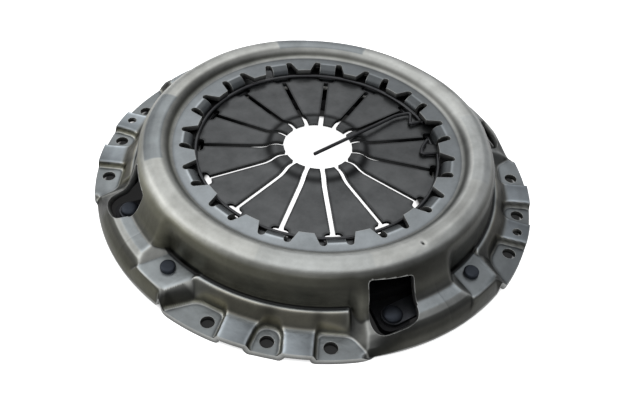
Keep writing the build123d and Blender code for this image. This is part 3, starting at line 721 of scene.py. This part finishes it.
# tints: slopes are painted warm, as a brown reflection that is stronger on the lit side; level faces are
# cool, the skirt a little bronze and the bridges a little blue
warmth = (1.0 - 0.9 * smooth_step(0.45, 0.85, lean)) * (radius > SHELF_R) * (0.25 + 0.75 * lit_side)
coolness = np.clip(smooth_step(0.9, 0.98, lean) * (1.0 - upper) + on_shelf + facet, 0.0, 1.0)
tint = np.stack([1.0 + 0.04 * warmth - 0.06 * coolness, np.ones_like(warmth),
                 1.0 - 0.24 * warmth + 0.08 * coolness], axis=2)
bronze = (skirt * (height > 9.5))[:, :, None] * np.array([0.05, 0.0, -0.10])
blue = (bridge * (across > 0.0))[:, :, None] * np.array([-0.02, 0.0, 0.04])
tone = tone[:, :, None] * (tint + bronze + blue)

cover_metal = metal("cover_metal", (0.34, 0.342, 0.325), (0.52, 0.525, 0.505), 0.38, dents=0.25, toned=True)
cover = trimmed_sheet("cover_sheet", points, keep, SHEET, grid_normals(points, 10), tone)
cover.data.materials.append(cover_metal)
round_rims(cover, 0.5)
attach(cover, "cover_group")
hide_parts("cover")

# ---------------------------------------------------------------- diaphragm spring
# One dished sheet of heat-treated spring steel, 3.2 mm thick: fifteen fingers parted by narrow slots that
# end in rounded windows, with tips turned up to a crest round the middle hole. The wire rings hold it.
SPRING_T = 3.2
SPRING_ROWS = 150
SLOT_HALF = 2.1
SLOT_END_R = 103.0
# line of the upper face from the tips to the outer edge, as (radius, height)
SPRING_LINE = np.array([(30.0, 43.9), (34.0, 44.7), (37.5, 44.9), (41.0, 43.9), (45.0, 41.6), (49.0, 40.5),
                        (60.0, 40.1), (80.0, 39.6), (98.0, 39.2), (106.5, 38.35), (131.0, 32.0)])
SPRING_WINDOW = [(99.5, -7.4), (115.0, -9.0), (115.0, 9.0), (99.5, 7.4)]
spring_run = np.linspace(SPRING_LINE[0, 0], SPRING_LINE[-1, 0], SPRING_ROWS)
spring_line = smoothed(np.interp(spring_run, SPRING_LINE[:, 0], SPRING_LINE[:, 1]), passes=4)
spring_radius = np.repeat(spring_run[:, None], COLUMNS, axis=1)
spring_points = polar_points(spring_radius, np.repeat(spring_line[:, None], COLUMNS, axis=1))
slot_x = spring_radius * np.cos(np.radians(tab_turn))
slot_y = spring_radius * np.sin(np.radians(tab_turn))
slot = np.maximum(np.abs(slot_y) - SLOT_HALF, slot_x - SLOT_END_R)
spring_keep = np.minimum(slot, convex_distance(slot_x, slot_y, SPRING_WINDOW, 4.0))
# painted shade: the tips and their bend are darker, the fingers on one side a little darker, and the slots'
# edges dark
bend = 1.0 - 0.76 * hump(spring_radius, 43.0, 3.4) - 0.35 * (1.0 - smooth_step(34.0, 40.0, spring_radius))
bend = bend * (1.0 - 0.18 * hump(angles, 130.0, 40.0))
slot_edge = 1.0 - 0.45 * hump(spring_keep, 0.6, 0.9)
spring_tone = np.repeat((bend * slot_edge)[:, :, None], 3, axis=2)
spring_metal = metal("spring_metal", (0.074, 0.076, 0.077), (0.138, 0.141, 0.142), 0.38, toned=True)
spring = trimmed_sheet("diaphragm_sheet", spring_points, spring_keep, SPRING_T,
                       grid_normals(spring_points, 1), spring_tone)
spring.data.materials.append(spring_metal)
round_rims(spring, 0.45)
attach(spring, "cover_group")
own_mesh(spring)
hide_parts("diaphragm_spring")

# ---------------------------------------------------------------- wire rings
# Two turns of round steel wire on which the spring pivots, held by the cover's tabs. The upper one ends in
# a short hook and in a long straight tail that lies over the fingers; the lower one has a narrow gap.
WIRE_R = 1.6
RING_R = 106.5
UPPER_Z = 40.1
LOWER_Z = 33.3
RING_POINTS = 220
CORNER_REACH = 4.0
wire_metal = metal("wire_metal", (0.045, 0.045, 0.048), (0.085, 0.086, 0.088), 0.32)


def ring_turn(start, sweep, z):
    """Points round a ring from a start angle, through a sweep."""
    return [(*polar(RING_R, start + sweep * share), z) for share in np.linspace(0.0, 1.0, RING_POINTS)]


def rounded(route):
    """Route with each inner corner rounded."""
    route = [np.array(place, float) for place in route]
    result = [route[0]]
    for before, corner, after in zip(route, route[1:], route[2:]):
        back, ahead = before - corner, after - corner
        a = corner + back * min(CORNER_REACH / np.linalg.norm(back), 0.5)
        b = corner + ahead * min(CORNER_REACH / np.linalg.norm(ahead), 0.5)
        result += [(1 - t) ** 2 * a + 2 * t * (1 - t) * corner + t * t * b for t in np.linspace(0.0, 1.0, 9)]
    return result + [route[-1]]


def wire(name, route, cad_node):
    """Round wire through a list of points."""
    curve = bpy.data.curves.new(name, "CURVE")
    curve.dimensions = "3D"
    curve.bevel_depth = WIRE_R * MM
    curve.bevel_resolution = 5
    curve.use_fill_caps = True
    spline = curve.splines.new("POLY")
    spline.points.add(len(route) - 1)
    for point, place in zip(spline.points, route):
        point.co = (*(np.array(place) * MM), 1.0)
    piece = bpy.data.objects.new(name, curve)
    scene.collection.objects.link(piece)
    curve.materials.append(wire_metal)
    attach(piece, "cover_group")
    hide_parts(cad_node)


upper_turn = ring_turn(141.2, 335.8, UPPER_Z)
hook = rounded([upper_turn[-1], (*polar(RING_R - 3.6, 116.6), 41.1), (*polar(RING_R - 14.9, 115.0), 41.5),
                (*polar(RING_R - 13.5, 120.0), 42.2), (*polar(RING_R - 6.6, 125.7), 42.4)])
tail = rounded([upper_turn[0], (*polar(RING_R - 3.3, 141.0), 41.1), (*polar(RING_R - 13.3, 140.4), 41.8),
                (*polar(RING_R - 4.2, 148.3), 42.4), (*polar(RING_R - 19.7, 149.9), 42.9),
                (*polar(19.7, 16.2), 50.8)])
wire("upper_ring_wire", tail[:0:-1] + upper_turn + hook[1:], "pivot_ring_upper")
wire("lower_ring_wire", ring_turn(12.0, 357.5, LOWER_Z), "pivot_ring_lower")

# ---------------------------------------------------------------- pressure plate
# Cast iron friction ring with a fulcrum ridge for the spring and four lugs for the straps. The CAD's own
# solid shows it, so only its finish is set here.
iron_metal = metal("iron_metal", (0.014, 0.014, 0.015), (0.032, 0.032, 0.034), 0.55, grain=0.2)
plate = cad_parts["pressure_plate"]
plate.data.materials.clear()
plate.data.materials.append(iron_metal)

# ---------------------------------------------------------------- straps
# Packs of three spring steel leaves that carry the plate, from the raised rivet pads to its lugs. Each leaf
# is a long flat strip with round ends, punched from sheet, that runs straight between the cover and the
# plate.
RIVET_R = 170.0
RIVET_TURN = 73.4
LUG_RIVET_R = 167.0
LUG_TURN = 47.0
LEAF_HALF = 9.0
LEAF_Z = 9.5
LEAF_PITCH = 1.0
LEAF_GAP = 0.03
strap_metal = metal("strap_metal", (0.05, 0.052, 0.058), (0.09, 0.095, 0.105), 0.38)


def leaf_strip(name, start, end, low, high):
    """Flat strip with round ends from one rivet's axis to another's, between two heights."""
    run = end - start
    ahead = run.normalized()
    across = Vector((-run.y, run.x, 0.0)).normalized()
    quarter_turn = np.linspace(0, math.pi / 2, 9)
    stations = np.concatenate([LEAF_HALF * (1 - np.cos(quarter_turn)) - LEAF_HALF,
                               np.linspace(0.0, run.length, 40)[1:-1],
                               run.length + LEAF_HALF * np.sin(quarter_turn)])
    vertices, faces = [], []
    for station in stations:
        past = max(-station, station - run.length, 0.0)
        half = math.sqrt(max(LEAF_HALF ** 2 - past ** 2, 0.04))
        middle = start + ahead * float(station)
        a, b = middle - across * half, middle + across * half
        vertices += [(a.x, a.y, low), (b.x, b.y, low), (b.x, b.y, high), (a.x, a.y, high)]
    for base in range(0, len(vertices) - 4, 4):
        for k in range(4):
            following = base + (k + 1) % 4
            faces.append((base + k, following, following + 4, base + k + 4))
    faces += [(3, 2, 1, 0), tuple(len(vertices) - 4 + k for k in range(4))]
    mesh = bpy.data.meshes.new("leaf")
    mesh.from_pydata([(x * MM, y * MM, z * MM) for x, y, z in vertices], [], faces)
    mesh.update()
    piece = bpy.data.objects.new(name, mesh)
    scene.collection.objects.link(piece)
    piece.data.materials.append(strap_metal)
    return piece


for quarter in range(4):
    cover_end = Vector((*polar(RIVET_R, RIVET_TURN + 90.0 * quarter), 0.0))
    lug_end = Vector((*polar(LUG_RIVET_R, LUG_TURN + 90.0 * quarter), 0.0))
    for leaf in range(3):
        name = f"strap_{quarter + 1}_leaf_{leaf + 1}"
        low = LEAF_Z + LEAF_PITCH * leaf + LEAF_GAP
        high = LEAF_Z + LEAF_PITCH * (leaf + 1) - LEAF_GAP
        piece = leaf_strip(name + "_strip", cover_end, lug_end, low, high)
        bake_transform(piece)
        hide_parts(name)

# ---------------------------------------------------------------- rivets
# Steel rivets that clamp the straps, set cold. Cover rivets have low drum heads with a rounded edge; lug
# rivets have wider domed heads. Each profile runs up from the lower head, as (radius, height).
COVER_RIVET = [(5.5, 7.0), (6.5, 8.0), (6.5, 9.5), (4.0, 9.5), (4.0, 17.5), (6.15, 17.5), (6.2, 20.2),
               (5.9, 21.0), (5.2, 21.4), (4.0, 21.5)]
LUG_RIVET = [(5.5, 1.8), (6.5, 2.8), (6.5, 4.0), (4.0, 4.0), (4.0, 12.5), (7.9, 12.5), (8.0, 13.6),
             (7.5, 14.8), (6.2, 15.9), (4.2, 16.7), (2.0, 17.0)]
SIDES = 48
rivet_metal = metal("rivet_metal", (0.030, 0.035, 0.045), (0.055, 0.062, 0.075), 0.50)


def turned(name, number, profile, x, y):
    """Body turned round an upright axis from a profile of radii and heights, closed by flat ends."""
    vertices, faces = [], []
    for r, z in profile:
        for k in range(SIDES):
            angle = 2 * math.pi * k / SIDES
            vertices.append(((x + r * math.cos(angle)) * MM, (y + r * math.sin(angle)) * MM, z * MM))
    for base in range(0, len(vertices) - SIDES, SIDES):
        for k in range(SIDES):
            a, b = base + k, base + (k + 1) % SIDES
            faces.append((a, b, b + SIDES, a + SIDES))
    faces.append(tuple(reversed(range(SIDES))))
    faces.append(tuple(range(len(vertices) - SIDES, len(vertices))))
    mesh = bpy.data.meshes.new(name)
    mesh.from_pydata(vertices, [], faces)
    mesh.update()
    mesh.polygons.foreach_set("use_smooth", [True] * len(mesh.polygons))
    piece = bpy.data.objects.new(f"{name}_{number}_turned", mesh)
    scene.collection.objects.link(piece)
    crisp = piece.modifiers.new("crisp", "EDGE_SPLIT")
    crisp.split_angle = math.radians(50.0)
    piece.data.materials.append(rivet_metal)
    return piece


for quarter in range(4):
    for profile, radius, angle, body, name in (
            (COVER_RIVET, RIVET_R, RIVET_TURN, "cover_group", "cover_rivet"),
            (LUG_RIVET, LUG_RIVET_R, LUG_TURN, "plate_group", "lug_rivet")):
        piece = turned(name, quarter + 1, profile, *polar(radius, angle + 90.0 * quarter))
        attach(piece, body)
        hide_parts(f"{name}_{quarter + 1}")
